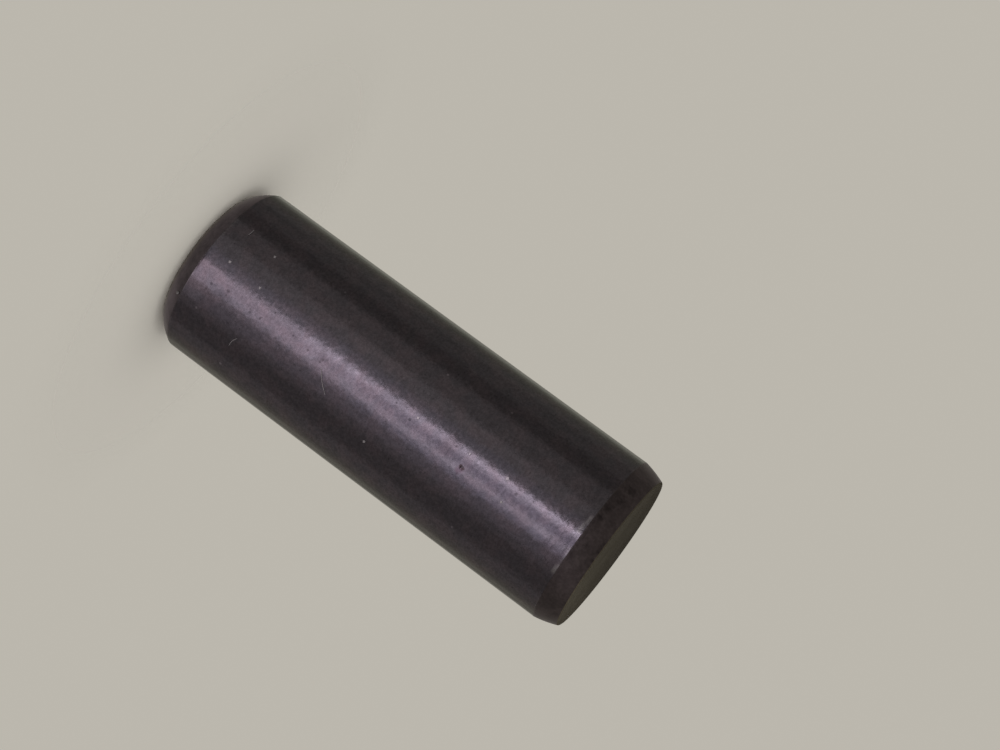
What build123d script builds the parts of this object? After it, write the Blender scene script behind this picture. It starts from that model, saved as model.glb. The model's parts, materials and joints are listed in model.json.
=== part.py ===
from build123d import *
from math import cos, radians, sin
import os

# Roller pin: one turned, ground and blackened steel pin.
#
# The pin is a straight cylinder with two different ends. The butt end has a short steep chamfer,
# and the entry end has a longer shallow lead-in, so that the pin starts in its bore by hand.
# Both chamfers are slightly crowned, and they meet the ground land at crisp shoulders. The rim
# of each flat face is broken with a small radius.
#
# Frame: the pin stands on its butt face at z = 0, with its axis on +Z and its entry end up.
# Lengths are in millimetres and angles in degrees.

# Overall form
pin_diameter = 13.0
pin_length = 35.0

# Entry end, at the top: the shallow lead-in
lead_in_length = 1.7
lead_in_depth = 0.5
lead_in_shoulder_angle = 10.0

# Butt end, at the bottom: the steep chamfer
butt_chamfer_length = 1.3
butt_chamfer_depth = 1.05
butt_shoulder_angle = 27.0

# Rim of each flat face
face_rim_radius = 0.15

# Radii and heights that follow from the sizes above
land_radius = pin_diameter / 2
butt_face_radius = land_radius - butt_chamfer_depth
entry_face_radius = land_radius - lead_in_depth
land_bottom = butt_chamfer_length
land_top = pin_length - lead_in_length


def inward_slope(shoulder_angle, rise):
    """The direction, as (outward, up), in which a crowned chamfer leaves the land."""
    return (-sin(radians(shoulder_angle)), rise * cos(radians(shoulder_angle)))


# Roller pin: half of its section, with its two face rims broken, turned about the axis
with BuildPart() as roller_pin:
    with BuildSketch(Plane.XZ) as half_section:
        with BuildLine() as half_outline:
            butt_face = Line((0, 0), (butt_face_radius, 0))
            land = Line((land_radius, land_bottom), (land_radius, land_top))
            entry_face = Line((entry_face_radius, pin_length), (0, pin_length))
            TangentArc(land @ 0, butt_face @ 1, tangent=inward_slope(butt_shoulder_angle, -1))
            TangentArc(land @ 1, entry_face @ 0, tangent=inward_slope(lead_in_shoulder_angle, 1))
            Line(entry_face @ 1, butt_face @ 0)
        make_face()
        face_rims = half_section.vertices().sort_by(Axis.X)[2:4]
        fillet(face_rims, radius=face_rim_radius)
    revolve(axis=Axis.Z)

roller_pin.part.label = "roller_pin"

os.makedirs("parts", exist_ok=True)
export_step(roller_pin.part, "parts/roller_pin.step")
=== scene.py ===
"""Looks of a blackened steel roller pin that stands on its butt face.

The turned body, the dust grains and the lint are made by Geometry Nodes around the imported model.
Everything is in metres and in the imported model's frame: the pin's axis is +Z, its butt face is at z = 0
and the camera stands on the -Y side. Angles round the axis are in degrees from the -Y side towards +X.
"""
import json
import logging
import math
from collections.abc import Callable, Sequence
from dataclasses import dataclass
from enum import Enum
from functools import reduce

import bpy
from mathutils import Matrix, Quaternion, Vector


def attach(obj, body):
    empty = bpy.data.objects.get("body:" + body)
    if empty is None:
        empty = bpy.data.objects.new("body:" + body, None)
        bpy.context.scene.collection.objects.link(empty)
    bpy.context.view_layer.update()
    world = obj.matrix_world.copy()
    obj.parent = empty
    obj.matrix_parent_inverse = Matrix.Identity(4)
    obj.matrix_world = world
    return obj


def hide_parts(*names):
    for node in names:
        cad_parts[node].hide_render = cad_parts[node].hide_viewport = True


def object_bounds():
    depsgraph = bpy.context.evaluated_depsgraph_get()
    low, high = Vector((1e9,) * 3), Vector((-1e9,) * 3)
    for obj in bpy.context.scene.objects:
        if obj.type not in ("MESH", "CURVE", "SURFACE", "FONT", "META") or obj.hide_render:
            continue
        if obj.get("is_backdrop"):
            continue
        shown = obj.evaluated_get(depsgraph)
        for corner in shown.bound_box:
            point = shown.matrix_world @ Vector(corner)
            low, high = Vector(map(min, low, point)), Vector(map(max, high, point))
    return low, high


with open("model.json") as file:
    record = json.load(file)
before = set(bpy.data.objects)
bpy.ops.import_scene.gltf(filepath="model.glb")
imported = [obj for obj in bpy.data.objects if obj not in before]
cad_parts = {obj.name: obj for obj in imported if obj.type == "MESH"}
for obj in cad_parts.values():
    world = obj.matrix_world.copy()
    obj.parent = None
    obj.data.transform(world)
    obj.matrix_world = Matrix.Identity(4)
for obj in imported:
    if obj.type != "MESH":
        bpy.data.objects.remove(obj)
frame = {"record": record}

LOG = logging.getLogger("roller_pin")

MM = 0.001
BODY = "root"
PIN_NODE = "roller_pin"

Colour = tuple[float, float, float]
Piece = bpy.types.Object
Socket = bpy.types.NodeSocket
Feed = Socket | float | int | Sequence[float]


@dataclass(frozen=True)
class Spot:
    """A small mark on the pin."""

    height: float  # above the butt face
    angle: float  # round the axis
    size: float = 0.0  # how wide it is
    radius: float = 6.5 * MM  # its distance from the axis

    def point(self) -> Vector:
        """The mark's middle."""
        turn = math.radians(self.angle)
        return Vector((self.radius * math.sin(turn), -self.radius * math.cos(turn), self.height))


def spots_at(*rows: tuple[float, ...]) -> tuple[Spot, ...]:
    """Makes marks from rows of height, angle, size and radius, with the lengths in millimetres."""
    return tuple(Spot(height * MM, turn, *(part * MM for part in rest)) for height, turn, *rest in rows)


def new_object(name: str, data: bpy.types.ID) -> Piece:
    """Adds an object to the scene.

    Args:
        name: the object's name.
        data: its mesh, lamp or camera.

    Returns:
        The new object.
    """
    made = bpy.data.objects.new(name, data)
    bpy.context.scene.collection.objects.link(made)
    return made


def point_object(name: str, points: Sequence[Vector], joined: bool = False) -> Piece:
    """Makes a mesh that only holds points for a node tree to read.

    Args:
        name: the object's name.
        points: the points, in order.
        joined: whether each point is joined to the next by an edge.

    Returns:
        The new object.
    """
    mesh = bpy.data.meshes.new(name)
    edges = [(i, i + 1) for i in range(len(points) - 1)] if joined else []
    mesh.from_pydata([tuple(p) for p in points], edges, [])
    return new_object(name, mesh)


# --- Node trees ---


class Op(Enum):
    """The sums of numbers that the node trees use, under Blender's names."""

    ADD, SUBTRACT, MULTIPLY, DIVIDE, ABSOLUTE, SINE, COSINE, ARCTAN2 = range(8)
    MAXIMUM, GREATER_THAN, LESS_THAN = range(8, 11)


class VectorOp(Enum):
    """The sums of vectors that they use, under Blender's names."""

    DISTANCE, LENGTH, MULTIPLY, NORMALIZE, SCALE = range(5)


class NodeBench:
    """A node tree under construction, with short calls for the nodes that repeat."""

    def __init__(self, tree: bpy.types.NodeTree) -> None:
        """Takes up the tree, which is a shader, world or geometry tree."""
        self.tree = tree

    def add(self, kind: str, *sources: Feed, **settings: object) -> bpy.types.Node:
        """Adds a node.

        Args:
            kind: the node's Blender type.
            sources: what its first inputs get, in their order.
            settings: properties to set on it.

        Returns:
            The new node.
        """
        node = self.tree.nodes.new(kind)
        for name, value in settings.items():
            setattr(node, name, value)
        for socket, source in zip(node.inputs, sources):
            self.feed(socket, source)
        return node

    def feed(self, target: Socket, source: Feed) -> None:
        """Links a socket to its source, or sets its value when the source is plain.

        Args:
            target: the socket.
            source: another socket, or a number, a vector or a colour.
        """
        if isinstance(source, Socket):
            self.tree.links.new(source, target)
        elif target.type == "RGBA":
            target.default_value = (*source, 1.0)
        else:
            target.default_value = source

    def supply(self, node: bpy.types.Node, **inputs: Feed) -> Socket:
        """Feeds some of a node's inputs by name.

        Args:
            node: the node.
            inputs: their sources, with _ for the spaces in their names.

        Returns:
            The node's first output.
        """
        for name, source in inputs.items():
            self.feed(node.inputs[name.replace("_", " ")], source)
        return node.outputs[0]

    def sum(self, op: Op, first: Feed, second: Feed = 0.0) -> Socket:
        """Works out one sum of one or two numbers."""
        return self.add("ShaderNodeMath", first, second, operation=op.name).outputs[0]

    def times(self, *factors: Feed) -> Socket:
        """Multiplies two or more numbers."""
        return reduce(lambda product, factor: self.sum(Op.MULTIPLY, product, factor), factors)

    def plus(self, *terms: Feed) -> Socket:
        """Adds two or more numbers."""
        return reduce(lambda total, term: self.sum(Op.ADD, total, term), terms)

    def weigh(self, *parts: tuple[Feed, float]) -> Socket:
        """Adds numbers up, each times its own share."""
        return self.plus(*(self.times(number, share) for number, share in parts))

    def minus(self, first: Feed, second: Feed) -> Socket:
        """Takes the second number from the first."""
        return self.sum(Op.SUBTRACT, first, second)

    def gap(self, first: Feed, second: Feed) -> Socket:
        """Measures how far two numbers lie apart."""
        return self.sum(Op.ABSOLUTE, self.minus(first, second))

    def larger(self, first: Feed, second: Feed) -> Socket:
        """Picks the larger of two numbers."""
        return self.sum(Op.MAXIMUM, first, second)

    def measure(self, op: VectorOp, first: Feed, second: Feed = (0.0, 0.0, 0.0)) -> Socket:
        """Works out a distance or a length."""
        return self.add("ShaderNodeVectorMath", first, second, operation=op.name).outputs["Value"]

    def vector(self, op: VectorOp, first: Feed, second: Feed = (0.0, 0.0, 0.0)) -> Socket:
        """Works out one sum of one or two vectors."""
        return self.add("ShaderNodeVectorMath", first, second, operation=op.name).outputs[0]

    def scale(self, first: Feed, factor: Feed) -> Socket:
        """Multiplies a vector or a colour by a number."""
        node = self.add("ShaderNodeVectorMath", first, operation=VectorOp.SCALE.name)
        return self.supply(node, Scale=factor)

    def point(self, x: Feed = 0.0, y: Feed = 0.0, z: Feed = 0.0) -> Socket:
        """Joins three numbers into one vector."""
        return self.add("ShaderNodeCombineXYZ", x, y, z).outputs[0]

    def split(self, place: Feed) -> tuple[Socket, ...]:
        """Takes a vector apart into its x, y and z."""
        return tuple(self.add("ShaderNodeSeparateXYZ", place).outputs)

    def turn(self, place: Feed) -> Socket:
        """Finds a point's angle round the axis, in radians."""
        x, y, _ = self.split(place)
        return self.sum(Op.ARCTAN2, x, self.times(y, -1.0))

    def ramp(self, value: Feed, low: Feed, high: Feed, start: Feed = 0.0, end: Feed = 1.0) -> Socket:
        """Maps low to start and high to end, smoothly between them and level past both."""
        sources = (value, low, high, start, end)
        return self.add("ShaderNodeMapRange", *sources, interpolation_type="SMOOTHSTEP").outputs[0]

    def noise(self, place: Feed, size: float, detail: float = 2.0) -> Socket:
        """Adds a noise from 0 to 1, with features of one size and some finer layers of detail."""
        return self.supply(self.add("ShaderNodeTexNoise", place), Scale=1.0 / size, Detail=detail)

    def blend(self, share: Feed, first: Feed, second: Feed) -> Socket:
        """Blends two colours.

        Args:
            share: how much of the second colour shows.
            first: the first colour.
            second: the second colour.

        Returns:
            The blended colour's socket.
        """
        node = self.add("ShaderNodeMix", share, data_type="RGBA")
        self.feed(node.inputs[6], first)
        self.feed(node.inputs[7], second)
        return node.outputs[2]


class ShaderBench(NodeBench):
    """A material under construction, with one shader at its end."""

    def __init__(self, name: str, kind: str = "ShaderNodeBsdfPrincipled") -> None:
        """Starts the material with its shader.

        Args:
            name: the material's name.
            kind: the shader's Blender type.
        """
        self.made = bpy.data.materials.new(name)
        self.made.use_nodes = True
        super().__init__(self.made.node_tree)
        self.tree.nodes.clear()
        self.shader = self.add(kind)
        self.add("ShaderNodeOutputMaterial", self.shader.outputs[0])
        self.place = self.add("ShaderNodeTexCoord").outputs["Object"]

    def dress(self, **inputs: Feed) -> bpy.types.Material:
        """Feeds the shader's inputs, with _ for the spaces in their names, and returns the material."""
        self.supply(self.shader, **inputs)
        return self.made

    def vary(self, noise: Socket, share: float) -> Socket:
        """Turns a noise into a level that varies about 1 by a share."""
        return self.ramp(noise, 0.3, 0.7, 1 - share, 1 + share)

    def from_axis(self) -> Socket:
        """Measures how far the surface is from the pin's axis."""
        x, y, _ = self.split(self.place)
        return self.measure(VectorOp.LENGTH, self.point(x, y))

    def grooves(self, pitch: float, stretch: float) -> Socket:
        """Adds a noise of a given pitch, drawn out round the axis as a grinding wheel leaves it."""
        drawn_out = self.vector(VectorOp.MULTIPLY, self.place, (1 / stretch, 1 / stretch, 1.0))
        return self.noise(drawn_out, pitch)

    def relief(self, height: Feed, depth: float) -> Socket:
        """Makes the normals of a relief from its height, from 0 to about 1, and its depth in metres."""
        return self.supply(self.add("ShaderNodeBump"), Strength=1.0, Distance=depth, Height=height)


class GeometryBench(NodeBench):
    """A Geometry Nodes tree under construction, with named inputs."""

    KINDS = {
        float: "NodeSocketFloat",
        int: "NodeSocketInt",
        Piece: "NodeSocketObject",
        bpy.types.Material: "NodeSocketMaterial",
    }

    def __init__(self, name: str, values: dict[str, object]) -> None:
        """Starts the tree with its inputs.

        Args:
            name: the name of the piece that it makes.
            values: each input's name and value.
        """
        super().__init__(bpy.data.node_groups.new(name, "GeometryNodeTree"))
        self.name = name
        self.given = self.add("NodeGroupInput")
        self.made = self.add("NodeGroupOutput")
        self.values: dict[str, object] = {}
        sockets = self.tree.interface
        sockets.new_socket("Geometry", in_out="OUTPUT", socket_type="NodeSocketGeometry")
        for label, value in values.items():
            item = sockets.new_socket(label, in_out="INPUT", socket_type=self.KINDS[type(value)])
            self.values[item.identifier] = value

    def __getitem__(self, label: str) -> Socket:
        """The socket of a named input."""
        return self.given.outputs[label]

    def shape_of(self, label: str) -> Socket:
        """Reads the geometry of the object in a named input."""
        return self.add("GeometryNodeObjectInfo", self[label]).outputs["Geometry"]

    def position(self) -> Socket:
        """Reads each point's position."""
        return self.add("GeometryNodeInputPosition").outputs[0]

    def through(self, kind: str, geometry: Socket, **inputs: Feed) -> Socket:
        """Passes geometry through a node, whose kind is its Blender type after GeometryNode."""
        return self.supply(self.add("GeometryNode" + kind, geometry), **inputs)

    def circle(self, radius: Feed, sides: Feed) -> Socket:
        """Adds a circle about the origin."""
        node = self.add("GeometryNodeCurvePrimitiveCircle", sides, mode="RADIUS")
        return self.supply(node, Radius=radius)

    def wrap(self, radius: Feed, angle: Feed, height: Feed = 0.0) -> Socket:
        """Finds a point by its distance from the axis, its angle in radians and its height."""
        x = self.times(radius, self.sum(Op.SINE, angle))
        return self.point(x, self.times(radius, self.sum(Op.COSINE, angle), -1.0), height)

    def end(self, geometry: Socket, finish: str, others: Sequence[tuple[Socket, str]] = ()) -> None:
        """Closes the tree with real geometry in its finishes.

        Args:
            geometry: what the tree has made so far.
            finish: the input that holds the main material.
            others: pairs of a selection and the input whose material its faces get instead.
        """
        dressed = self.through("RealizeInstances", geometry)
        dressed = self.through("SetMaterial", dressed, Material=self[finish])
        for chosen, other in others:
            dressed = self.through("SetMaterial", dressed, Selection=chosen, Material=self[other])
        self.feed(self.made.inputs["Geometry"], dressed)

    def make(self, plan: Callable[["GeometryBench"], None]) -> Piece:
        """Builds the tree, runs it once and removes the point objects that it read.

        Args:
            plan: what builds the tree between its inputs and its end.

        Returns:
            The piece as a plain mesh at the origin, with no modifier left on it.
        """
        plan(self)
        piece = new_object(self.name, bpy.data.meshes.new(self.name))
        modifier = piece.modifiers.new(self.name, "NODES")
        modifier.node_group = self.tree
        for identifier, value in self.values.items():
            modifier[identifier] = value
        graph = bpy.context.evaluated_depsgraph_get()
        mesh = bpy.data.meshes.new_from_object(piece.evaluated_get(graph))
        piece.modifiers.remove(modifier)
        empty = piece.data
        piece.data = mesh
        bpy.data.meshes.remove(empty)
        mesh.name = self.name
        for value in self.values.values():
            if isinstance(value, Piece) and not value.data.polygons:
                bpy.data.objects.remove(value)
        return piece


# --- Finishes ---


@dataclass(frozen=True)
class Pattern:
    """The scale of what a surface shows close up."""

    cloud: float  # the size of its wide, soft clouds
    mottle: float  # the size of its mottling
    pitch: float  # how far apart the tool's marks lie
    relief: float  # how deep its relief is

    def noises(self, bench: ShaderBench) -> tuple[Socket, Socket]:
        """Adds the clouds and the mottling."""
        return bench.noise(bench.place, self.cloud, 3.0), bench.noise(bench.place, self.mottle)


@dataclass(frozen=True)
class Marks:
    """A few small soft marks in a coat."""

    level: float  # the coat's brightness in their middle, or how much of a stain shows there
    spots: tuple[Spot, ...]
    uneven: float = 0.3  # how uneven their edges are, as a share of a spot's size
    core: float = 0.15  # where their fading starts, as a share of it
    reach: float = 0.6  # where it ends

    def share(self, bench: ShaderBench, ragged: Socket) -> Socket:
        """Finds where the surface lies in one of the marks.

        Args:
            bench: the material under construction.
            ragged: a fine noise that makes their edges uneven.

        Returns:
            A socket that is 1 in the middle of a mark and 0 outside.
        """
        shares = []
        for spot in self.spots:
            away = bench.measure(VectorOp.DISTANCE, bench.place, tuple(spot.point()))
            sway = self.uneven * spot.size
            away = bench.plus(away, bench.times(ragged, sway), -0.5 * sway)
            shares.append(bench.ramp(away, self.core * spot.size, self.reach * spot.size, 1.0, 0.0))
        return reduce(bench.larger, shares)

    def shade(self, bench: ShaderBench, ragged: Socket) -> Socket:
        """Finds the coat's brightness: the marks' own in their middle and 1 outside."""
        return bench.ramp(self.share(bench, ragged), 0.0, 1.0, 1.0, self.level)

    def stain(self, bench: ShaderBench, ragged: Socket) -> Socket:
        """Finds how much of a stain shows."""
        return bench.times(self.share(bench, ragged), self.level)


@dataclass(frozen=True)
class Rub:
    """A mark that runs a little way round the land, where the coat is rubbed thin or dirty."""

    height: float  # above the butt face
    angles: tuple[float, float]  # of its two ends round the axis
    width: float  # along the axis
    strength: float  # in its middle

    def share(self, bench: ShaderBench, ragged: Socket) -> Socket:
        """Finds how strong the mark is at each point.

        Args:
            bench: the material under construction.
            ragged: a fine noise that breaks the mark up.

        Returns:
            The share's socket.
        """
        start, end = (math.radians(angle) for angle in self.angles)
        aside = bench.gap(bench.turn(bench.place), (start + end) / 2)
        above = bench.gap(bench.split(bench.place)[2], self.height)
        along = bench.ramp(aside, 0.2 * (end - start), 0.55 * (end - start), 1.0, 0.0)
        across = bench.ramp(above, 0.1 * self.width, 0.6 * self.width, 1.0, 0.0)
        return bench.times(along, across, bench.ramp(ragged, 0.25, 0.60, 0.3, 1.0), self.strength)


@dataclass(frozen=True)
class GroundLand:
    """Black oxide over a ground cylinder, finely mottled, with its coat rubbed thin on the shoulders."""

    black: Colour = (0.0355, 0.0318, 0.0370)
    thin_black: Colour = (0.0385, 0.0325, 0.0375)
    bare: Colour = (0.150, 0.142, 0.140)
    rust: Colour = (0.014, 0.004, 0.006)
    blush: Colour = (0.022, 0.010, 0.016)  # the stain beside the pit
    # The colour of a dark band beside the butt shoulder.
    band_black: Colour = (0.010, 0.008, 0.009)
    grazing_tint: Colour = (0.52, 0.52, 0.50)
    roughness: float = 0.11
    pattern: Pattern = Pattern(1.1 * MM, 0.24 * MM, 0.12 * MM, 0.006 * MM)
    grain: float = 0.10 * MM
    freckle: float = 0.17 * MM  # the size of the faint dark freckles
    swell: float = 0.36 * MM  # the size of the low swells in the surface
    worn_patch: float = 2.6 * MM  # the size of the rubbed patches on the shoulders
    shoulder_wear: tuple[float, float] = (0.08, 0.10)  # how bare the entry and the butt shoulder are
    rubs: tuple[Rub, ...] = (
        Rub(33.14 * MM, (-12.0, -5.0), 0.30 * MM, 0.22),
        Rub(33.06 * MM, (-7.0, 2.0), 0.40 * MM, 0.26),
        Rub(33.22 * MM, (8.0, 30.0), 0.20 * MM, 0.16),
        Rub(33.14 * MM, (23.0, 31.0), 0.40 * MM, 0.32),
        Rub(1.38 * MM, (-36.0, -12.0), 0.20 * MM, 0.08),
    )
    # A dark band beside the butt shoulder, over the angles where the highlight starts.
    dirt: Rub = Rub(1.34 * MM, (-5.0, 13.0), 0.24 * MM, 0.9)
    rust_spots: Marks = Marks(0.6, spots_at((24.15, 10.4, 0.30), (24.33, 11.2, 0.34)))
    blush_spots: Marks = Marks(0.45, spots_at((24.24, 13.1, 0.70)), 0.6)
    dark_spots: Marks = Marks(0.58, spots_at(
        (2.86, 11.6, 0.25), (4.12, 9.1, 0.30), (6.22, 11.8, 0.25), (7.07, 11.2, 0.24),
        (9.66, 7.3, 0.18), (11.05, 9.4, 0.22), (12.30, 8.6, 0.26), (12.22, 10.6, 0.26),
        (19.51, 6.4, 0.26), (28.25, 4.5, 0.28), (7.72, 2.9, 0.18), (18.13, 3.0, 0.18),
        (23.14, 2.7, 0.18), (29.48, 1.9, 0.18),
    ))
    smudges: Marks = Marks(1.9, spots_at(
        (2.78, 29.9, 0.22), (5.93, 55.7, 0.30), (10.50, -33.6, 0.22),
        (19.64, -29.5, 0.22), (24.62, -34.5, 0.22), (25.76, 47.9, 0.25),
    ))
    flecks: Marks = Marks(1.25, spots_at(
        (13.20, 2.5, 0.30), (14.75, 2.7, 0.28), (15.60, 3.9, 0.30),
        (25.00, 2.7, 0.28), (30.30, 2.4, 0.28), (32.80, 2.3, 0.28),
    ))
    pale_patches: Marks = Marks(1.25, spots_at(
        (1.90, 19.0, 2.0), (11.00, 7.2, 1.8), (12.80, 1.0, 1.6),
        (14.60, 5.0, 1.4), (24.10, 12.5, 1.0), (31.00, 13.5, 1.6),
    ), 0.8)
    dull_patches: Marks = Marks(
        0.78, spots_at((4.10, 12.5, 1.0), (22.70, 6.2, 1.5), (22.90, 1.4, 1.3)), 0.8
    )

    def material(self, body: "TurnedBody") -> bpy.types.Material:
        """Builds the material for a body's land.

        Args:
            body: the turned body.

        Returns:
            The material.
        """
        bench = ShaderBench("ground_land")
        cloud, mottle = self.pattern.noises(bench)
        grain = bench.noise(bench.place, self.grain, 1.0)
        grind = bench.grooves(self.pattern.pitch, 6.0)
        freckles = bench.noise(bench.place, self.freckle, 0.0)
        swell = bench.noise(bench.place, self.swell, 0.0)

        shares = ((cloud, 0.05), (mottle, 0.12), (grain, 0.10), (grind, 0.05))
        levels = [bench.vary(noise, share) for noise, share in shares]
        levels.append(bench.ramp(freckles, 0.76, 0.84, 1.0, 0.7))
        levels += [marks.shade(bench, mottle) for marks in (self.dark_spots, self.smudges, self.flecks)]
        levels += [marks.shade(bench, cloud) for marks in (self.pale_patches, self.dull_patches)]
        tone = bench.blend(bench.ramp(cloud, 0.40, 0.65), self.black, self.thin_black)
        tone = bench.scale(tone, bench.times(*levels))

        wear = [rub.share(bench, mottle) for rub in self.rubs]
        shoulders = (body.entry_shoulder(), body.butt_chamfer.length)
        for shoulder, share in zip(shoulders, self.shoulder_wear):
            wear.append(bench.times(self.worn_shoulder(bench, shoulder), share))
        tone = bench.blend(bench.plus(*wear), tone, self.bare)
        rusted = self.rust_spots.stain(bench, mottle)
        tone = bench.blend(self.blush_spots.stain(bench, mottle), tone, self.blush)
        tone = bench.blend(rusted, tone, self.rust)
        dulled = bench.weigh((cloud, 0.04), (mottle, 0.08), (grind, 0.04), (rusted, 0.3))
        height = bench.weigh((swell, 1.1), (mottle, 0.6), (grind, 0.3))
        return bench.dress(
            Base_Color=bench.blend(self.dirt.share(bench, mottle), tone, self.band_black),
            Metallic=bench.ramp(rusted, 0.0, 1.0, 1.0, 0.5),
            Roughness=bench.plus(self.roughness, dulled),
            Specular_Tint=self.grazing_tint,
            Normal=bench.relief(height, self.pattern.relief),
        )

    def worn_shoulder(self, bench: ShaderBench, shoulder: float) -> Socket:
        """Finds the patches beside a shoulder where the coat is rubbed.

        Args:
            bench: the material under construction.
            shoulder: the shoulder's height.

        Returns:
            A socket that is 1 in a patch and 0 elsewhere.
        """
        gap = bench.gap(bench.split(bench.place)[2], shoulder)
        patch = bench.ramp(bench.noise(bench.place, self.worn_patch, 3.0), 0.42, 0.62)
        return bench.times(bench.ramp(gap, 0.02 * MM, 0.09 * MM, 1.0, 0.0), patch)


@dataclass(frozen=True)
class TurnedChamfer:
    """Black oxide over a turned chamfer: duller and browner than the land, with dark stains."""

    lead_in: Colour = (0.0440, 0.0360, 0.0380)
    butt: Colour = (0.0820, 0.0690, 0.0790)
    dusty: Colour = (0.0900, 0.0800, 0.0700)  # the butt end towards its face, where dirt stays
    grazing_tint: Colour = (0.7, 0.68, 0.68)
    roughness: float = 0.26
    pattern: Pattern = Pattern(0.9 * MM, 0.22 * MM, 0.09 * MM, 0.005 * MM)
    stains: Marks = Marks(0.55, spots_at(
        (34.84, -2.5, 0.50, 6.05), (34.84, 0.5, 0.60, 6.05), (34.80, 3.5, 0.50, 6.05),
        (34.82, 10.0, 0.50, 6.05), (33.60, -14.0, 0.80, 6.45), (33.70, -22.0, 1.40, 6.40),
        (34.00, -30.0, 1.60, 6.30), (34.10, -42.0, 1.60, 6.30), (34.07, 4.4, 0.70, 6.30),
    ), uneven=1.6, core=-0.2)

    def material(self, body: "TurnedBody") -> bpy.types.Material:
        """Builds the material for a body's chamfers.

        Args:
            body: the turned body.

        Returns:
            The material.
        """
        bench = ShaderBench("turned_chamfer")
        height = bench.split(bench.place)[2]
        cloud, mottle = self.pattern.noises(bench)
        turning = bench.grooves(self.pattern.pitch, 16.0)

        past_rim = bench.minus(bench.from_axis(), body.land_radius - body.butt_chamfer.depth)
        butt = bench.blend(bench.ramp(past_rim, 0.0, 0.5 * MM, 0.9, 0.0), self.butt, self.dusty)
        tone = bench.blend(bench.sum(Op.GREATER_THAN, height, body.length / 2), butt, self.lead_in)
        shoulder = body.entry_shoulder()
        near_entry = bench.ramp(height, shoulder, shoulder + 0.7 * MM, 0.86, 1.07)
        near_foot = bench.ramp(height, 0.1 * MM, body.butt_chamfer.length, 1.12, 0.82)
        level = bench.times(
            bench.ramp(cloud, 0.40, 0.66, 1.08, 0.84),
            bench.vary(mottle, 0.12),
            self.stains.shade(bench, bench.weigh((mottle, 0.2), (cloud, 0.8))),
            bench.larger(near_entry, near_foot),
        )
        return bench.dress(
            Base_Color=bench.scale(tone, level),
            Metallic=1.0,
            Roughness=bench.plus(self.roughness, bench.weigh((cloud, 0.12), (mottle, 0.1))),
            Specular_Tint=self.grazing_tint,
            Normal=bench.relief(bench.weigh((mottle, 0.8), (turning, 1.0)), self.pattern.relief),
        )


@dataclass(frozen=True)
class CutFace:
    """A flat end face with a matte, khaki skin of old oil and dirt over its cut marks."""

    khaki: Colour = (0.0425, 0.0355, 0.0230)
    brown: Colour = (0.0270, 0.0215, 0.0130)  # darker, towards the back (+Y)
    roughness: float = 0.72
    pattern: Pattern = Pattern(1.8 * MM, 0.25 * MM, 0.12 * MM, 0.006 * MM)

    def material(self) -> bpy.types.Material:
        """Builds the faces' material.

        Returns:
            The material.
        """
        bench = ShaderBench("cut_face")
        x, y, _ = bench.split(bench.place)
        cloud, mottle = self.pattern.noises(bench)
        unrolled = bench.point(bench.from_axis(), bench.times(x, 0.05), bench.times(y, 0.05))
        ring = bench.noise(unrolled, self.pattern.pitch)

        # Darker brown towards the back.
        towards_back = bench.ramp(bench.plus(y, bench.times(cloud, 8 * MM)), -1 * MM, 9 * MM)
        tone = bench.blend(towards_back, self.khaki, self.brown)
        # The face is lighter towards +X.
        lighter_to_plus_x = bench.ramp(x, -1 * MM, 6 * MM, 1.0, 1.35)
        level = bench.times(bench.vary(mottle, 0.12), bench.vary(ring, 0.08), lighter_to_plus_x)
        return bench.dress(
            Base_Color=bench.scale(tone, level),
            Metallic=0.0,
            Roughness=bench.plus(self.roughness, bench.times(cloud, 0.16)),
            Specular_IOR_Level=0.05,
            Normal=bench.relief(bench.weigh((mottle, 0.5), (ring, 1.0)), self.pattern.relief),
        )


@dataclass(frozen=True)
class PaleFluff:
    """Pale dust or lint."""

    name: str
    tone: Colour
    mottle: float = 0.05 * MM

    def material(self) -> bpy.types.Material:
        """Builds the material.

        Returns:
            The material.
        """
        bench = ShaderBench(self.name)
        level = bench.ramp(bench.noise(bench.place, self.mottle, 1.0), 0.3, 0.7, 0.75, 1.15)
        tone = bench.scale(self.tone, level)
        return bench.dress(Base_Color=tone, Roughness=0.9, Specular_IOR_Level=0.2)


# --- Turned body ---


@dataclass(frozen=True)
class CrownedChamfer:
    """A slightly crowned chamfer between the land and a flat face."""

    length: float  # along the axis
    depth: float  # in from the land
    shoulder_angle: float  # its slope where it leaves the land, in degrees from the axis
    rim_radius: float = 0.15 * MM  # breaks the face's rim
    crown_steps: int = 12
    rim_steps: int = 6

    def stations(self, land_radius: float) -> list[Vector]:
        """Lists the chamfer's points from the shoulder to the face.

        Args:
            land_radius: the pin's radius at the shoulder.

        Returns:
            Points as (distance from the axis, distance along the axis from the shoulder).
        """
        chord = math.hypot(self.length, self.depth)
        shoulder = math.radians(self.shoulder_angle)
        half_turn = math.atan2(self.depth, self.length) - shoulder
        foot_slope = shoulder + 2 * half_turn
        rim_turn = math.pi / 2 - foot_slope
        setback = self.rim_radius * math.tan(rim_turn / 2)
        made = []
        last_share = 1 - setback / chord
        for step in range(self.crown_steps + 1):
            share = last_share * step / self.crown_steps
            reach = chord * math.sin(share * half_turn) / math.sin(half_turn)
            slope = shoulder + share * half_turn
            made.append(Vector((land_radius - reach * math.sin(slope), reach * math.cos(slope))))
        centre = Vector((land_radius - self.depth - setback, self.length - self.rim_radius))
        for step in range(1, self.rim_steps + 1):
            lean = foot_slope + rim_turn * step / self.rim_steps
            made.append(centre + self.rim_radius * Vector((math.cos(lean), math.sin(lean))))
        return made


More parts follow.
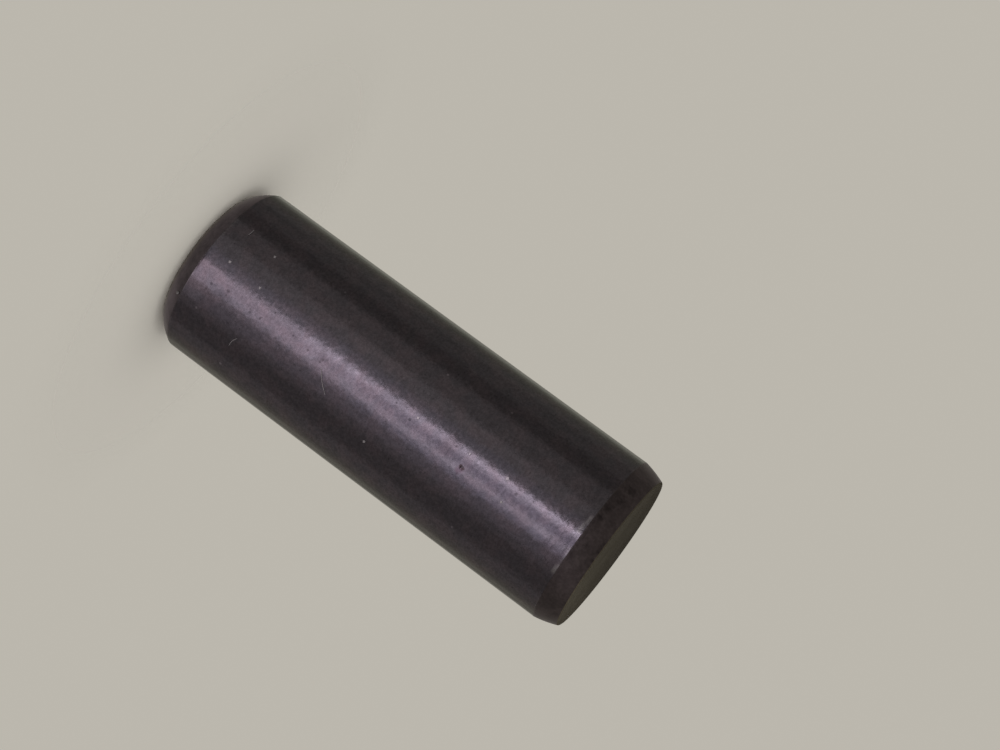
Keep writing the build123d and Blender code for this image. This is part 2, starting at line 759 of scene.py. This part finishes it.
@dataclass
class TurnedBody:
    """The turned and ground body of the pin."""

    land_radius: float
    length: float
    lead_in: CrownedChamfer = CrownedChamfer(1.7 * MM, 0.5 * MM, 10.0)  # at the top
    butt_chamfer: CrownedChamfer = CrownedChamfer(1.3 * MM, 1.05 * MM, 27.0)  # at the bottom
    pit: Spot = Spot(24.27 * MM, 10.9, 0.36 * MM)  # the one rust pit in the land
    pit_depth: float = 0.02 * MM
    pit_grain: float = 0.14 * MM  # the size of the noise that makes the pit's edge ragged
    dirty_rim: float = 0.5  # the share of a broken rim that carries the face's dirt
    sides: int = 360
    side_crowding: float = 0.6  # how strongly the sides crowd towards the pit
    row_step: float = 0.25 * MM  # between the rows of the land
    ring_step: float = 0.6 * MM  # between the rings of a flat face
    support_step: float = 0.02 * MM  # from an edge to the first row or ring
    seam: float = 0.001 * MM  # how close points are when they are merged
    land_finish: GroundLand = GroundLand()
    chamfer_finish: TurnedChamfer = TurnedChamfer()
    face_finish: CutFace = CutFace()

    def entry_shoulder(self) -> float:
        """The height of the shoulder between the land and the lead-in."""
        return self.length - self.lead_in.length

    def half_section(self) -> list[Vector]:
        """Lists the section's stations from the middle of the butt face to the middle of the entry face.

        Returns:
            Points as (distance from the axis, height).
        """
        foot = self.butt_chamfer.stations(self.land_radius)
        butt = [Vector((p.x, self.butt_chamfer.length - p.y)) for p in reversed(foot)]
        head = self.lead_in.stations(self.land_radius)
        entry = [Vector((p.x, self.entry_shoulder() + p.y)) for p in head]
        land = [Vector((self.land_radius, height)) for height in self.land_rows()]
        return [*self.face_rings(butt[0]), *butt, *land, *entry, *reversed(self.face_rings(entry[-1]))]

    def face_rings(self, edge: Vector) -> list[Vector]:
        """Lists the rings of a flat face from the axis outwards, without its edge.

        Args:
            edge: the station at the face's edge.

        Returns:
            The rings as (distance from the axis, height).
        """
        count = round(edge.x / self.ring_step)
        rings = [Vector((edge.x * ring / count, edge.y)) for ring in range(count)]
        return [*rings, Vector((edge.x - self.support_step, edge.y))]

    def land_rows(self) -> list[float]:
        """Spaces the rows of the land, closer together at the pit and beside the shoulders.

        Returns:
            The heights between the shoulders.
        """
        last = self.entry_shoulder() - self.support_step
        rows = [self.butt_chamfer.length + self.support_step]
        while rows[-1] < last - self.row_step:
            nearness = math.exp(-(((rows[-1] - self.pit.height) / (2 * self.pit.size)) ** 2))
            rows.append(rows[-1] + self.row_step * (1 - 0.9 * nearness))
        return [*rows, last]

    def turn(self, bench: GeometryBench) -> None:
        """Turns the half section about the axis, sinks the pit and dresses the form.

        Args:
            bench: the tree under construction.
        """
        radius = bench["Land Radius"]
        pit_angle = bench["Pit Angle"]

        # The rail is the land's own circle, with its points crowded towards the pit.
        turn = bench.turn(bench.position())
        pull = bench.times(bench["Side Crowding"], bench.sum(Op.SINE, bench.minus(turn, pit_angle)))
        crowded = bench.wrap(radius, bench.minus(turn, pull))
        rail = bench.through("SetPosition", bench.circle(radius, bench["Sides"]), Position=crowded)
        profile = bench.through("MeshToCurve", bench.shape_of("Half Section"))
        turned = bench.through("CurveToMesh", rail, Profile_Curve=profile)
        closed = bench.through("MergeByDistance", turned, Distance=bench["Seam"])

        # The pit is a ragged bowl in the land.
        place = bench.position()
        ragged = bench.ramp(bench.noise(place, self.pit_grain), 0.25, 0.75, 0.3, 0.7)
        reach = bench.times(bench["Pit Width"], ragged)
        middle = bench.wrap(radius, pit_angle, bench["Pit Height"])
        away = bench.measure(VectorOp.DISTANCE, place, middle)
        bowl = bench.ramp(away, bench.times(reach, 0.25), reach, 1.0, 0.0)
        level = bench.vector(VectorOp.MULTIPLY, place, (-1.0, -1.0, 0.0))
        inward = bench.vector(VectorOp.NORMALIZE, level)
        sunk = bench.scale(inward, bench.times(bowl, bench["Pit Depth"]))
        pitted = bench.through("SetPosition", closed, Offset=sunk)

        height = bench.split(bench.position())[2]
        from_top = bench.minus(bench["Pin Length"], height)
        rim = bench["Rim Height"]
        on_lead_in = bench.sum(Op.LESS_THAN, from_top, bench["Lead In Length"])
        on_butt = bench.sum(Op.LESS_THAN, height, bench["Butt Chamfer Length"])
        at_ends = (bench.sum(Op.LESS_THAN, from_top, rim), bench.sum(Op.LESS_THAN, height, rim))
        others = (
            (bench.larger(on_lead_in, on_butt), "Chamfer Finish"),
            (bench.larger(*at_ends), "Face Finish"),
        )
        bench.end(bench.through("SetShadeSmooth", pitted), "Land Finish", others)

    def build(self) -> Piece:
        """Turns the body.

        Returns:
            The body as a plain mesh.
        """
        # Swept along the rail, a profile's x points away from the axis and its y points down.
        stations = [Vector((p.x - self.land_radius, -p.y, 0.0)) for p in self.half_section()]
        values = {
            "Half Section": point_object("half_section", stations, joined=True),
            "Land Radius": self.land_radius,
            "Pin Length": self.length,
            "Sides": self.sides,
            "Side Crowding": self.side_crowding,
            "Seam": self.seam,
            "Lead In Length": self.lead_in.length,
            "Butt Chamfer Length": self.butt_chamfer.length,
            "Pit Height": self.pit.height,
            "Pit Angle": math.radians(self.pit.angle),
            "Pit Width": self.pit.size,
            "Pit Depth": self.pit_depth,
            "Rim Height": self.dirty_rim * self.lead_in.rim_radius,
            "Land Finish": self.land_finish.material(self),
            "Chamfer Finish": self.chamfer_finish.material(self),
            "Face Finish": self.face_finish.material(),
        }
        return GeometryBench("turned_body", values).make(self.turn)


# --- Dust and lint ---


@dataclass(frozen=True)
class DustGrains:
    """Grains of dust that cling to the pin."""

    name: str
    finish: PaleFluff
    grains: tuple[Spot, ...]  # those on the front
    back_density: float = 0.0  # how many to the square metre lie on the back
    back_grain: tuple[float, float] = (0.035 * MM, 0.06 * MM)  # their smallest and largest radius
    back_start: float = 0.5 * MM  # how far behind the axis and above the butt face they start
    seed: int = 7

    def scatter(self, bench: GeometryBench) -> None:
        """Sets grains on the named spots and scatters more over the back.

        Args:
            bench: the tree under construction.
        """
        seed = bench["Seed"]
        _, y, z = bench.split(bench.position())
        behind, above = (bench.sum(Op.GREATER_THAN, side, bench["Back Start"]) for side in (y, z))
        scattered = bench.through(
            "DistributePointsOnFaces",
            bench.shape_of("Surface"),
            Selection=bench.times(behind, above),
            Density=bench["Back Density"],
            Seed=seed,
        )
        drawn = bench.add("FunctionNodeRandomValue", data_type="FLOAT")
        bench.feed(drawn.inputs[2], bench["Smallest Radius"])
        bench.feed(drawn.inputs[3], bench["Largest Radius"])
        bench.feed(drawn.inputs["Seed"], seed)
        radius = drawn.outputs[1]
        scattered = bench.through("StoreNamedAttribute", scattered, Name="grain_radius", Value=radius)
        joined = bench.add("GeometryNodeJoinGeometry", scattered)
        bench.feed(joined.inputs[0], bench.through("MeshToPoints", bench.shape_of("Spots")))

        ball = bench.add("GeometryNodeMeshIcoSphere", 1.0, 3)
        swell = bench.ramp(bench.noise(bench.position(), 1.1), 0.25, 0.75, 0.6, 1.2)
        lump = bench.scale(bench.position(), swell)
        grain = bench.through("SetPosition", ball.outputs["Mesh"], Position=lump)
        turned = bench.add("FunctionNodeRandomValue", data_type="FLOAT_VECTOR")
        bench.feed(turned.inputs[1], (math.tau, math.tau, math.tau))
        bench.feed(turned.inputs["Seed"], seed)
        size = bench.add("GeometryNodeInputNamedAttribute", "grain_radius", data_type="FLOAT")
        placed = bench.through(
            "InstanceOnPoints",
            joined.outputs[0],
            Instance=bench.through("SetShadeSmooth", grain),
            Rotation=turned.outputs[0],
            Scale=size.outputs["Attribute"],
        )
        bench.end(placed, "Finish")

    def build(self, body: Piece) -> Piece:
        """Sets the grains on a body.

        Args:
            body: the body that they cling to.

        Returns:
            All grains as one mesh.
        """
        spots = point_object("grain_spots", [grain.point() for grain in self.grains])
        radii = spots.data.attributes.new("grain_radius", "FLOAT", "POINT")
        radii.data.foreach_set("value", [grain.size / 2 for grain in self.grains])
        values = {
            "Spots": spots,
            "Surface": body,
            "Back Density": self.back_density,
            "Back Start": self.back_start,
            "Smallest Radius": self.back_grain[0],
            "Largest Radius": self.back_grain[1],
            "Seed": self.seed,
            "Finish": self.finish.material(),
        }
        return GeometryBench(self.name, values).make(self.scatter)


# One pale dust in three brightnesses: the grains near the highlight are lighter and those in it lighter
# still, which is painted light.
DUST = (
    DustGrains(
        "dust_grains",
        PaleFluff("pale_dust", (0.125, 0.115, 0.113)),
        spots_at((5.19, -24.6, 0.19), (17.67, 35.0, 0.20), (1.07, 29.7, 0.24, 6.4)),
        back_density=1.5e4,
    ),
    # Painted light: the same dust, made lighter near the highlight.
    DustGrains(
        "light_grains",
        PaleFluff("half_lit_dust", (0.215, 0.195, 0.200)),
        spots_at((3.03, -5.5, 0.21), (5.82, -3.6, 0.19), (27.75, 13.4, 0.20)),
    ),
    # Painted light: the same dust, made lighter still in the highlight.
    DustGrains(
        "bright_grains",
        PaleFluff("fully_lit_dust", (0.33, 0.29, 0.315)),
        spots_at((19.92, 2.6, 0.19), (24.17, 1.6, 0.15), (27.18, 0.2, 0.26)),
    ),
)


@dataclass(frozen=True)
class LintFibre:
    """A fibre that lies on the land along a few places."""

    name: str
    finish: PaleFluff
    places: tuple[Spot, ...]
    thickness: float
    lift: float = 0.03 * MM  # how far its middle stands off the land
    steps: int = 32
    sides: int = 8

    def lay(self, bench: GeometryBench) -> None:
        """Bends a flat line round the land and gives it thickness.

        Args:
            bench: the tree under construction.
        """
        radius = bench["Land Radius"]
        thickness = bench["Thickness"]
        line = bench.through("MeshToCurve", bench.shape_of("Flat Line"))
        smooth = bench.add("GeometryNodeCurveSplineType", line, spline_type="CATMULL_ROM").outputs[0]
        fine = bench.through("ResampleCurve", smooth, Count=bench["Steps"])
        along, height, _ = bench.split(bench.position())
        share = bench.add("GeometryNodeSplineParameter").outputs["Factor"]
        arch = bench.times(bench.sum(Op.SINE, bench.times(share, math.pi)), bench["Lift"])
        off_land = bench.plus(radius, bench.times(thickness, 0.3), arch)
        bent = bench.wrap(off_land, bench.sum(Op.DIVIDE, along, radius), height)
        laid = bench.through("SetPosition", fine, Position=bent)
        ring = bench.circle(bench.times(thickness, 0.5), bench["Sides"])
        bench.end(bench.through("CurveToMesh", laid, Profile_Curve=ring, Fill_Caps=True), "Finish")

    def build(self, land_radius: float) -> Piece:
        """Lays the fibre on a land of a given radius.

        Args:
            land_radius: the land's radius.

        Returns:
            The fibre.
        """
        flat = [Vector((math.radians(p.angle) * land_radius, p.height, 0.0)) for p in self.places]
        values = {
            "Flat Line": point_object("flat_line", flat, joined=True),
            "Land Radius": land_radius,
            "Thickness": self.thickness,
            "Lift": self.lift,
            "Steps": self.steps,
            "Sides": self.sides,
            "Finish": self.finish.material(),
        }
        return GeometryBench(self.name, values).make(self.lay)


FIBRES = (
    LintFibre(
        "curved_lint",
        PaleFluff("pale_lint", (0.115, 0.105, 0.105)),
        spots_at((6.10, 37.5), (6.17, 33.7), (6.38, 30.3)),
        thickness=0.04 * MM,
    ),
    LintFibre(
        "short_lint",
        PaleFluff("dull_lint", (0.090, 0.082, 0.082)),
        spots_at((2.76, -26.0), (2.80, -28.4), (2.77, -30.6)),
        thickness=0.07 * MM,
    ),
    LintFibre(
        "fine_hair",
        PaleFluff("pale_hair", (0.22, 0.20, 0.20)),
        spots_at((12.51, 13.1), (13.01, 18.7), (13.70, 25.1)),
        thickness=0.026 * MM,
    ),
)


# --- Studio ---


@dataclass(frozen=True)
class Lamp:
    """An upright soft lamp that faces the middle of the pin."""

    name: str
    azimuth: tuple[float, float]  # the directions of its two sides round the pin's axis
    radiance: float  # how bright its face is
    tint: Colour = (1.0, 0.93, 0.965)
    elevation: tuple[float, float] = (-27.0, -2.0)  # of its lower and upper edge, from the pin's middle
    distance: float = 0.6

    def place(self, target: Vector) -> None:
        """Adds the lamp, turned to its target and unseen by the camera.

        Args:
            target: the point that it faces.
        """
        left, right = (math.radians(side) for side in self.azimuth)
        bottom, top = (math.radians(edge) for edge in self.elevation)
        around = (left + right) / 2
        above = (bottom + top) / 2
        level = math.cos(above)
        width = 2 * self.distance * level * math.tan((right - left) / 2)
        height = 2 * self.distance * math.tan((top - bottom) / 2)
        data = bpy.data.lights.new(self.name, "AREA")
        data.shape = "RECTANGLE"
        data.size = width
        data.size_y = height
        data.energy = self.radiance * math.pi * width * height
        data.color = self.tint
        lamp = new_object(self.name, data)
        out = Vector((math.sin(around) * level, -math.cos(around) * level, math.sin(above)))
        lamp.location = target + out * self.distance
        lamp.rotation_mode = "QUATERNION"
        lamp.rotation_quaternion = (-out).to_track_quat("-Z", "Y")
        lamp.visible_camera = False


@dataclass
class Studio:
    """A plain pale floor, soft lamps and the camera."""

    middle: Vector  # of the pin
    pale: Colour = (0.50, 0.475, 0.42)  # the floor and the surround as the eye sees them
    daylight: float = 0.8  # how brightly the surround lights what is matte
    floor_core: float = 9 * MM  # the radius inside which the floor is whole
    floor_edge: float = 22 * MM  # the radius at which it has faded away
    # Painted light: the floor's colour is whiter near the pin, which makes up for part of the pin's
    # shadow on it.
    painted_light_span: tuple[float, float] = (5 * MM, 22 * MM)  # between which its whiter middle fades
    painted_light_gain: float = 1.22  # how much whiter the middle is, which makes up for the shade of the pin
    stand: tuple[float, float, float] = (0.0, -155.68 * MM, 49.85 * MM)  # where the camera stands
    aim: tuple[float, float, float] = (-5.44 * MM, 0.0, 21.46 * MM)  # the point that it looks at
    roll: float = 126.09  # how far it is rolled over, in degrees
    lens: float = 82.32
    clip: tuple[float, float] = (0.01, 10.0)
    lamps: tuple[Lamp, ...] = (
        Lamp("far_rim", (-160.0, -112.0), 0.50, (0.96, 1.02, 0.90)),
        Lamp("far_edge", (-112.0, -86.0), 0.20, (0.94, 1.03, 0.90)),
        Lamp("far_fill", (-62.0, -33.0), 0.44, (1.0, 0.98, 0.90)),
        Lamp("side_fill", (-33.0, -14.0), 1.0, (1.0, 0.98, 0.93)),
        Lamp("near_fill", (-14.0, 0.5), 1.15, (0.98, 0.97, 1.04)),
        Lamp("key_shade", (-9.0, 2.4), 0.6, (1.0, 0.95, 1.02), (-27.0, -14.0)),
        Lamp("key_foot", (2.4, 7.8), 3.8, (1.03, 0.94, 1.0), (-27.0, -14.5)),
        Lamp("key_core_foot", (7.8, 10.0), 7.8, (1.06, 0.94, 0.99), (-27.0, -14.5)),
        Lamp("key_slat", (0.9, 10.0), 7.8, (1.0, 0.94, 1.02), (-14.5, -2.0)),
        Lamp("key_core", (1.8, 4.6), 12.0, (1.0, 0.95, 1.02), (-8.5, -3.0)),
        Lamp("lower_slat", (10.0, 22.0), 5.2, (1.05, 0.92, 0.99), (-27.0, -13.0)),
        Lamp("upper_slat", (10.0, 21.0), 3.0, (1.0, 0.93, 1.12), (-13.0, -2.0)),
        Lamp("lower_third", (21.5, 30.0), 4.4, (1.0, 0.94, 1.02), (-27.0, -14.5)),
        Lamp("upper_third", (21.5, 30.0), 5.8, (1.0, 0.94, 1.02), (-14.5, -2.0)),
        Lamp("lower_edge", (30.0, 38.0), 1.7, (1.0, 0.88, 0.92), (-27.0, -13.0)),
        Lamp("upper_edge", (30.0, 38.0), 2.5, (0.98, 0.97, 1.14), (-13.0, -2.0)),
        Lamp("faint_slat", (38.0, 54.0), 1.05, (1.0, 0.93, 1.0)),
        Lamp("dim_slat", (54.0, 66.0), 0.50, (1.0, 0.93, 0.95)),
        Lamp("low_slat", (66.0, 98.0), 0.20, (1.0, 0.93, 0.95)),
        Lamp("edge_slat", (98.0, 116.0), 0.55, (1.0, 0.97, 0.94)),
        Lamp("rim_slat", (116.0, 150.0), 0.78, (1.0, 0.97, 0.90)),
        Lamp("high_fill", (38.0, 75.0), 0.45, elevation=(8.0, 34.0)),
        Lamp("low_fill", (105.0, 160.0), 0.20, elevation=(-68.0, -35.0)),
        Lamp("front_low", (3.0, 17.0), 3.0, elevation=(-48.0, -30.0)),
        Lamp("back_low", (173.0, 187.0), 3.0, elevation=(-48.0, -27.0)),
        Lamp("back_strip", (176.0, 184.0), 4.0),
    )

    def build(self) -> None:
        """Adds the surround, the floor, the lamps and the camera."""
        self.surround()
        self.floor()
        for lamp in self.lamps:
            lamp.place(self.middle)
            LOG.info("lamp %s", lamp.name)
        self.camera()

    def surround(self) -> None:
        """Makes the world pale to the eye and in reflections, and a white light for what is matte."""
        world = bpy.data.worlds.new("surround")
        bpy.context.scene.world = world
        world.use_nodes = True
        world.node_tree.nodes.clear()
        bench = NodeBench(world.node_tree)
        rays = bench.add("ShaderNodeLightPath").outputs
        seen = bench.larger(rays["Is Camera Ray"], rays["Is Glossy Ray"])
        seen = bench.larger(seen, rays["Is Transmission Ray"])
        sky = bench.blend(seen, (self.daylight, self.daylight, self.daylight), self.pale)
        glow = bench.add("ShaderNodeBackground", sky)
        bench.add("ShaderNodeOutputWorld", glow.outputs[0])

    def floor(self) -> None:
        """Lays a floor that fades into the surround, which is what polished metal sees in its place."""
        mesh = bpy.data.meshes.new("floor")
        reach = self.floor_edge
        corners = [(-reach, -reach, 0), (reach, -reach, 0), (reach, reach, 0), (-reach, reach, 0)]
        mesh.from_pydata(corners, [], [(0, 1, 2, 3)])
        floor = new_object("floor", mesh)
        bench = ShaderBench("pale_floor", "ShaderNodeMixShader")
        away = bench.measure(VectorOp.LENGTH, bench.place)
        glossy = bench.add("ShaderNodeLightPath").outputs["Is Glossy Ray"]
        fade = bench.larger(bench.ramp(away, self.floor_core, self.floor_edge), glossy)
        # Painted light on the floor: whiter near the pin, against the pin's shadow.
        white = bench.ramp(away, *self.painted_light_span, self.painted_light_gain, 1.0)
        tone = bench.scale(tuple(channel / self.daylight for channel in self.pale), white)
        matte = bench.add("ShaderNodeBsdfDiffuse", tone).outputs[0]
        clear = bench.add("ShaderNodeBsdfTransparent").outputs[0]
        for socket, source in zip(bench.shader.inputs, (fade, matte, clear)):
            bench.feed(socket, source)
        mesh.materials.append(bench.made)
        floor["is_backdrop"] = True

    def camera(self) -> None:
        """Stands the camera in front of the pin, a little above it and rolled well over."""
        data = bpy.data.cameras.new("camera")
        data.lens = self.lens
        data.clip_start, data.clip_end = self.clip
        camera = new_object("camera", data)
        camera.location = self.stand
        camera.rotation_mode = "QUATERNION"
        level = (Vector(self.aim) - Vector(self.stand)).to_track_quat("-Z", "Y")
        camera.rotation_quaternion = level @ Quaternion((0.0, 0.0, 1.0), math.radians(self.roll))
        bpy.context.scene.camera = camera


# --- Making ---


def report(piece: Piece) -> None:
    """Logs a finished piece."""
    LOG.info("piece %s, %d faces", piece.name, len(piece.data.polygons))


def main() -> None:
    """Builds the pin's pieces and the studio."""
    logging.basicConfig(level=logging.INFO, format="%(name)s: %(message)s")
    bpy.context.scene.view_settings.view_transform = "Standard"
    cad_low, cad_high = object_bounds()

    journal = next(mount for mount in frame["record"]["mounts"] if mount["name"] == "journal")
    pin = TurnedBody(land_radius=journal["dims"]["r_mm"] * MM, length=cad_high.z - cad_low.z)
    body = pin.build()
    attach(body, BODY)
    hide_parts(PIN_NODE)
    report(body)

    specks = [dust.build(body) for dust in DUST]
    specks += [fibre.build(pin.land_radius) for fibre in FIBRES]
    for speck in specks:
        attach(speck, BODY)
        report(speck)

    Studio(middle=(cad_low + cad_high) / 2).build()


if __name__ == "__main__":
    main()
